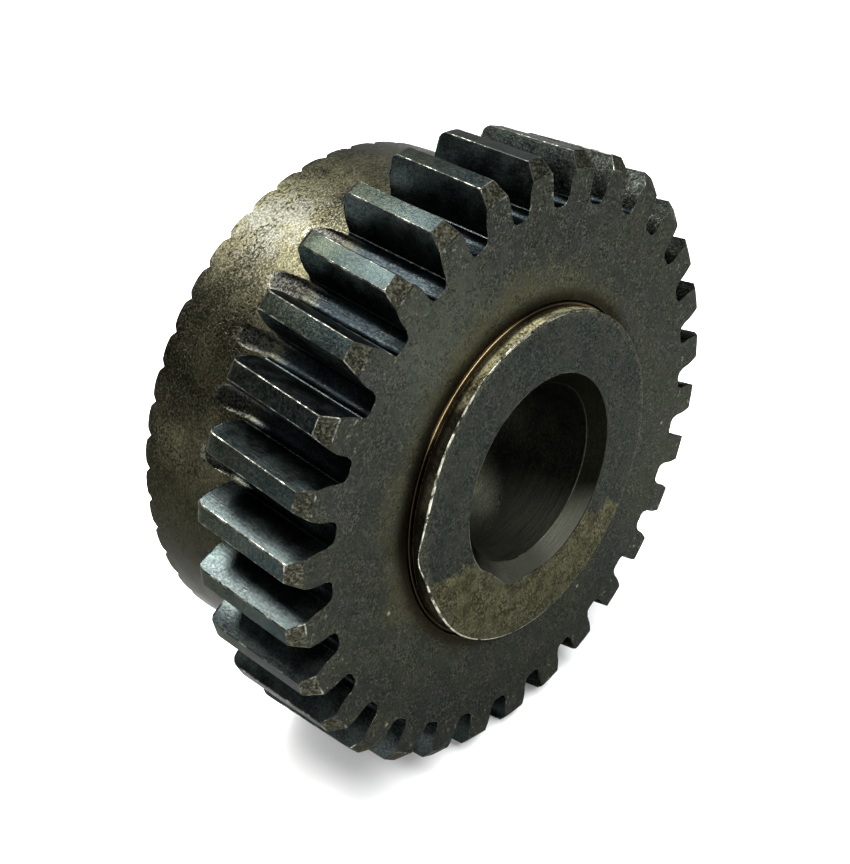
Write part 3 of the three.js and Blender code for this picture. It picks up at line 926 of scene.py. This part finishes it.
def spring_steel():
    """The retaining ring's dark phosphate skin."""
    s = Shader("spring_steel")
    cloud = s.noise(s.place, 0.3)
    colour = s.mix(s.span(cloud, 0.35, 0.65), (0.012, 0.013, 0.014), (0.027, 0.028, 0.03))
    colour, grain = s.speckled(colour, (0.06, 0.06, 0.06), (0.006, 0.006, 0.007), 0.4)
    return s.finish(colour, s.span(grain, 0.3, 0.7, 0.38, 0.55), grain, 0.03)


# ---- the object ----

# In the order of the slots that gear_rows names, with the worn edge last
gear_materials = [
    flank_steel(),
    land_steel(),
    chamfer_steel(),
    face_steel(),
    drum_steel(),
    floor_steel(),
    machined_steel("cup_steel"),
    worn_edge("gear_edge", (0.2, 0.2, 0.17), (0.02, 0.021, 0.018), share=0.54),
]

# In the order of sleeve_profile's stretches, with the worn edge last
sleeve_materials = [
    machined_steel("barrel_steel"),
    wall_steel(),
    boss_steel(),
    bore_steel(),
    worn_edge("boss_edge", (0.5, 0.49, 0.39), (0.018, 0.017, 0.013), share=0.45, inner=22.0),
]

front_bronze = bronze("front_bronze", (0.025, 0.018, 0.01), (0.4, 0.3, 0.15), painted_highlight_upper_left=True)
rear_bronze = bronze("rear_bronze", (0.06, 0.036, 0.014), (0.27, 0.18, 0.07))
bush_bronze = bronze("bush_bronze", (0.2, 0.12, 0.05), (0.5, 0.34, 0.15))


def place(piece, body, node, slot):
    """Sets a piece on its body, in its CAD node's place, and hides the node. The slot is not used."""
    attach(piece, body)
    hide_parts(node)


rows, bands = gear_rows()
gear = grid_object("gear_wheel", rows, bands, gear_materials, EDGE_WIDTHS["gear"])
place(gear, "gear", "helical_gear", "blackened_steel")

profile, slots = sleeve_profile()
sleeve = turned("flanged_sleeve", profile, slots, sleeve_materials, EDGE_WIDTHS["sleeve"], nicked)
place(sleeve, "hub", "hub_sleeve", "ground_steel")

bush_bore = SLEEVE_RADIUS + BUSH_CLEARANCE
washer_bore = SLEEVE_RADIUS + WASHER_CLEARANCE
for node, body, inner, material, slot in (
    ("front_bush", "gear", bush_bore, bush_bronze, "bush_bronze"),
    ("rear_bush", "gear", bush_bore, bush_bronze, "bush_bronze"),
    ("front_thrust_washer", "gear", washer_bore, front_bronze, "washer_bronze"),
    ("rear_thrust_washer", "hub", washer_bore, rear_bronze, "washer_bronze"),
):
    section = ring_profile(node, inner)
    piece = turned(node + "_fine", section, [0] * len(section), [material], EDGE_WIDTHS["small"])
    place(piece, body, node, slot)

place(retaining_ring(spring_steel()), "hub", "retaining_ring", "spring_steel")


# ---- floor, light and camera ----

def pale_floor():
    """A plain pale studio floor, 8 metres square, that the lowest tooth stands on."""
    half = 4.0
    level = cad_box[0].z
    mesh = bpy.data.meshes.new("studio_floor")
    signs = ((-1, -1), (1, -1), (1, 1), (-1, 1))
    mesh.from_pydata([(x * half, y * half, level) for x, y in signs], [], [(0, 1, 2, 3)])
    s = Shader("studio_floor")
    cloud = s.noise(s.place, 0.01)
    colour = s.mix(cloud, (0.88, 0.88, 0.88), (0.92, 0.92, 0.92))
    mesh.materials.append(s.finish(colour, 0.8, cloud, 0.01, metallic=0.0))
    piece = bpy.data.objects.new("studio_floor", mesh)
    bpy.context.scene.collection.objects.link(piece)


def soft_light(name, direction, distance, width, height, radiance, tint=(1, 1, 1)):
    """A softbox that looks at the origin. Its sizes are in metres, and radiance is that of its face."""
    light = bpy.data.lights.new(name, "AREA")
    light.shape = "RECTANGLE"
    light.size = width
    light.size_y = height
    light.energy = radiance * math.pi * width * height
    light.color = tint
    lamp = bpy.data.objects.new(name, light)
    towards = Vector(direction).normalized()
    lamp.location = towards * distance
    lamp.rotation_euler = towards.to_track_quat("Z", "Y").to_euler()
    bpy.context.scene.collection.objects.link(lamp)


def studio_world():
    """A dim room, lighter to the right and behind."""
    world = bpy.data.worlds.new("studio")
    world.use_nodes = True
    nodes, links = world.node_tree.nodes, world.node_tree.links
    side = nodes.new("ShaderNodeVectorMath")
    side.operation = "DOT_PRODUCT"
    side.inputs[1].default_value = (0.78, 0.58, 0.22)
    links.new(nodes.new("ShaderNodeTexCoord").outputs["Generated"], side.inputs[0])
    strength = nodes.new("ShaderNodeMapRange")
    for key, value in (("From Min", 0.1), ("From Max", 1.0), ("To Min", 0.11), ("To Max", 1.5)):
        strength.inputs[key].default_value = value
    links.new(side.outputs["Value"], strength.inputs[0])
    background = nodes["Background"]
    background.inputs["Color"].default_value = (0.94, 0.98, 1.0, 1.0)
    links.new(strength.outputs[0], background.inputs["Strength"])
    bpy.context.scene.world = world


def studio():
    """The floor, the three softboxes and the room."""
    pale_floor()
    soft_light("back_softbox", (-0.09, 0.514, 0.853), 0.8, 0.42, 0.22, 54.0, (1.0, 0.99, 0.97))
    soft_light("front_softbox", (0.0, -0.5, 0.866), 1.5, 1.0, 1.0, 9.0)
    soft_light("side_softbox", (-0.75, -0.45, 0.5), 1.2, 0.6, 0.6, 9.0)
    studio_world()
    bpy.context.scene.view_settings.view_transform = "Standard"


def photo_camera():
    """Looks down at the gear's front from its left, with no roll."""
    camera = bpy.data.cameras.new("camera")
    camera.lens = CAMERA["lens"]
    camera.clip_start = 0.01
    stand = bpy.data.objects.new("camera", camera)
    x, y, z = CAMERA["place"]
    stand.location = Vector((x, y - GEAR_FACE, z)) * MM
    stand.rotation_euler = (math.pi / 2 - CAMERA["elevation"], 0, CAMERA["azimuth"])
    bpy.context.scene.collection.objects.link(stand)
    bpy.context.scene.camera = stand


photo_camera()
studio()
